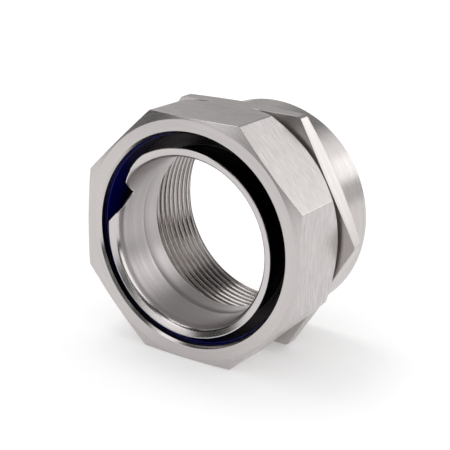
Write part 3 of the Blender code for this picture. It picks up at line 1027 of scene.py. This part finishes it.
class COUPLING_OT_ferrule(bpy.types.Operator):
    """Build the ferrule with its flange, helical lip and notch"""
    bl_idname = "coupling.ferrule"
    bl_label = "Ferrule"

    def execute(self, context):
        size = context.scene.hose_coupling_ferrule
        look = context.scene.hose_coupling_finish
        base = tuple(look.ferrule_colour)
        # The gap colour is painted shade, for the ferrule's outside and flange deep in the gap
        dark = tuple(look.gap_shade_colour)
        turns = ferrule_turns(size.columns)
        outlines = [ferrule_outline(size, turn) for turn in turns]
        angles = np.radians(turns)
        rows = []
        for k in range(len(outlines[0])):
            place = np.array([(outline[k][0], outline[k][1]) for outline in outlines])
            rows.append((place, angles, outlines[0][k][2]))
        bm = loft(rows, FERRULE_AXIS_Z)
        finishes = [
            steel("Ferrule bore, satin", base, look.roughness * 1.4, "depth", 0.07, 0.20, 0.4, 2600.0, 12.0),
            steel("Ferrule lip, rolled", base, 0.20, "depth", 0.04, 0.10, 0.2, 2200.0, 40.0),
            # The outside and the flange are painted with shade: their colour is the near-black gap colour
            steel("Ferrule outside, painted shade", dark, 0.30, "depth", 0.10, 0.20, 0.4),
            steel("Ferrule flange, painted shade", dark, 0.26, "radius", 0.25, 0.30, 0.8, 4200.0, 30.0),
            steel("Ferrule back, turned", base, look.roughness, "radius", 0.06, 0.20, 0.6),
        ]
        settle("ferrule_lip", bm, finishes, "fitting", "ferrule")
        return {"FINISHED"}


# Studio

# Half the floor's width, the step between a screen's corners in degrees, and where the lights aim
FLOOR_REACH = 6.0
SCREEN_STEP = 6.0
LIT_MIDDLE = (0.0, 0.0, 0.03)


def empty_tree(owner):
    """The node tree of a material or a world, with no nodes in it."""
    owner.use_nodes = True
    owner.node_tree.nodes.clear()
    return owner.node_tree


def seen_directly(tree):
    """1 for camera, glossy and transmission rays, else 0."""
    rays = add_node(tree, "ShaderNodeLightPath").outputs
    first = math_node(tree, "MAXIMUM", rays["Is Camera Ray"], rays["Is Glossy Ray"])
    return math_node(tree, "MAXIMUM", first, rays["Is Transmission Ray"])


def backdrop(name, bm, mat):
    """An object of the studio, made from a bmesh."""
    mesh = bpy.data.meshes.new(name)
    bm.to_mesh(mesh)
    bm.free()
    mesh.materials.append(mat)
    made = bpy.data.objects.new(name, mesh)
    bpy.context.scene.collection.objects.link(made)
    return made


def floor_paint(colour, glow_level):
    """Matt paint with a faint glow that only direct looks and reflections see."""
    mat = bpy.data.materials.new("Pale floor")
    tree = empty_tree(mat)
    base = add_node(tree, "ShaderNodeBsdfDiffuse", {"Color": (*colour, 1.0)})
    strength = math_node(tree, "MULTIPLY", seen_directly(tree), glow_level)
    glow = add_node(tree, "ShaderNodeEmission", {"Strength": strength})
    both = add_node(tree, "ShaderNodeAddShader", {0: base.outputs[0], 1: glow.outputs[0]})
    add_node(tree, "ShaderNodeOutputMaterial", {"Surface": both.outputs[0]})
    return mat


def white_world():
    """A world that is white to the camera and in reflections, and pale grey as a light."""
    world = bpy.data.worlds.new("Studio")
    tree = empty_tree(world)
    ambient = add_node(tree, "ShaderNodeBackground", {"Color": (0.80, 0.80, 0.80, 1.0)})
    white = add_node(tree, "ShaderNodeBackground", {"Color": (1.0, 1.0, 1.0, 1.0)})
    mix = add_node(tree, "ShaderNodeMixShader", {
        0: seen_directly(tree), 1: ambient.outputs[0], 2: white.outputs[0]})
    add_node(tree, "ShaderNodeOutputWorld", {"Surface": mix.outputs[0]})
    return world


def soft_light(name, place, width, height, power):
    """A rectangular lamp that aims at the middle of the coupling."""
    lamp = bpy.data.lights.new(name, "AREA")
    lamp.shape = "RECTANGLE"
    lamp.size = width
    lamp.size_y = height
    lamp.energy = power
    made = bpy.data.objects.new(name, lamp)
    made.location = place
    made.rotation_euler = (Vector(LIT_MIDDLE) - Vector(place)).to_track_quat("-Z", "Y").to_euler()
    bpy.context.scene.collection.objects.link(made)


def screen(name, first, last, low, high, distance, level):
    """A curved screen of one grey level, that only reflections see.

    It reaches from the first bearing to the last, counted from +Y towards +X, and from the low
    elevation to the high one, all in degrees. A nearer screen covers those behind it.
    """
    bm = bmesh.new()
    across = max(round((last - first) / SCREEN_STEP), 1)
    upwards = max(round((high - low) / SCREEN_STEP), 1)
    rows = []
    for k in range(upwards + 1):
        rise = math.radians(low + (high - low) * k / upwards)
        row = []
        for i in range(across + 1):
            turn = math.radians(first + (last - first) * i / across)
            out = Vector((math.sin(turn) * math.cos(rise), math.cos(turn) * math.cos(rise), math.sin(rise)))
            row.append(bm.verts.new(out * distance + Vector((0.0, 0.0, AXIS_Z))))
        rows.append(row)
    for lower, upper in zip(rows, rows[1:]):
        for i in range(across):
            bm.faces.new((lower[i], lower[i + 1], upper[i + 1], upper[i]))
    mat = bpy.data.materials.new(name)
    tree = empty_tree(mat)
    glow = add_node(tree, "ShaderNodeEmission", {"Strength": level})
    add_node(tree, "ShaderNodeOutputMaterial", {"Surface": glow.outputs[0]})
    card = backdrop(name, bm, mat)
    card.visible_camera = False
    card.visible_diffuse = False
    card.visible_shadow = False
    card.visible_transmission = False


class COUPLING_OT_studio(bpy.types.Operator):
    """Set the floor, the background, the lights and the camera"""
    bl_idname = "coupling.studio"
    bl_label = "Studio"

    def execute(self, context):
        scene = context.scene
        look = scene.hose_coupling_studio
        bm = bmesh.new()
        bm.faces.new([bm.verts.new((a * FLOOR_REACH, b * FLOOR_REACH, look.floor_height))
                      for a, b in ((-1, -1), (1, -1), (1, 1), (-1, 1))])
        floor = backdrop("floor", bm, floor_paint(look.floor_colour, look.floor_glow))
        scene.world = white_world()

        soft_light("overhead_light", (-0.49, 0.13, 1.23), 0.62, 0.62, 3.6)
        soft_light("back_right_light", (0.62, 1.0, 0.43), 0.32, 0.34, 0.55)
        screen("top_screen", 0.0, 360.0, 43.0, 86.0, 2.20, 0.02)
        screen("back_left_screen", -80.0, 5.0, 22.0, 52.0, 2.15, 0.28)
        screen("back_low_screen", -36.0, 22.0, 4.0, 14.0, 2.10, 0.12)
        screen("back_right_screen", 36.0, 45.0, -1.0, 28.0, 2.00, 0.03)
        screen("back_edge_screen", 22.0, 36.0, -1.0, 11.0, 1.99, 0.45)
        screen("back_right_soft_box", 13.0, 35.0, 14.0, 38.0, 1.98, 1.4)
        screen("right_soft_box", 45.0, 114.0, 2.0, 53.0, 1.95, 1.6)
        screen("right_top_soft_box", 60.0, 138.0, 20.0, 75.0, 1.90, 1.6)
        screen("front_screen", 126.0, 155.0, -1.0, 80.0, 1.85, 0.08)
        screen("front_low_screen", 91.0, 231.0, -1.0, 10.0, 1.80, 0.03)
        screen("front_left_soft_box", 179.0, 224.0, 13.0, 65.0, 1.75, 1.6)
        screen("front_left_screen", 218.0, 266.0, -1.0, 45.0, 1.70, 0.03)
        screen("camera_screen", 160.0, 195.0, 16.5, 54.0, 1.65, 0.08)

        camera = bpy.data.cameras.new("camera")
        camera.lens = look.lens
        camera.sensor_width = 36.0
        camera.clip_start = 0.01
        camera.clip_end = 50.0
        eye = bpy.data.objects.new("camera", camera)
        eye.location = look.place
        eye.rotation_euler = Euler(look.turn)
        scene.collection.objects.link(eye)
        scene.camera = eye
        scene.view_settings.view_transform = "Standard"
        return {"FINISHED"}


class COUPLING_PT_panel(bpy.types.Panel):
    bl_idname = "COUPLING_PT_panel"
    bl_label = "Hose Coupling"
    bl_space_type = "VIEW_3D"
    bl_region_type = "UI"
    bl_category = "Coupling"

    def draw(self, context):
        for group, (_, operator) in GROUPS.items():
            box = self.layout.box()
            values = getattr(context.scene, group)
            for name in values.bl_rna.properties.keys():
                if name not in ("rna_type", "name"):
                    box.prop(values, name)
            if operator:
                box.operator(operator)


# Each group of sizes, with the operator that uses it by itself
GROUPS = {
    "hose_coupling_nut": (HoseCouplingNut, "coupling.nut"),
    "hose_coupling_body": (HoseCouplingBody, "coupling.body"),
    "hose_coupling_threads": (HoseCouplingThreads, None),
    "hose_coupling_ring": (HoseCouplingRing, "coupling.ring"),
    "hose_coupling_ferrule": (HoseCouplingFerrule, "coupling.ferrule"),
    "hose_coupling_finish": (HoseCouplingFinish, None),
    "hose_coupling_studio": (HoseCouplingStudio, "coupling.studio"),
}
CLASSES = (
    *(group for group, _ in GROUPS.values()), COUPLING_OT_nut, COUPLING_OT_body, COUPLING_OT_ring,
    COUPLING_OT_ferrule, COUPLING_OT_studio, COUPLING_PT_panel)


def register():
    for cls in CLASSES:
        bpy.utils.register_class(cls)
    for name, (group, _) in GROUPS.items():
        setattr(bpy.types.Scene, name, bpy.props.PointerProperty(type=group))


def unregister():
    for name in GROUPS:
        delattr(bpy.types.Scene, name)
    for cls in reversed(CLASSES):
        bpy.utils.unregister_class(cls)


def main():
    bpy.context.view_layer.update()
    register()
    bpy.ops.coupling.nut()
    bpy.ops.coupling.body()
    bpy.ops.coupling.ring()
    bpy.ops.coupling.ferrule()
    bpy.ops.coupling.studio()
    bpy.context.view_layer.update()


if __name__ == "__main__":
    main()
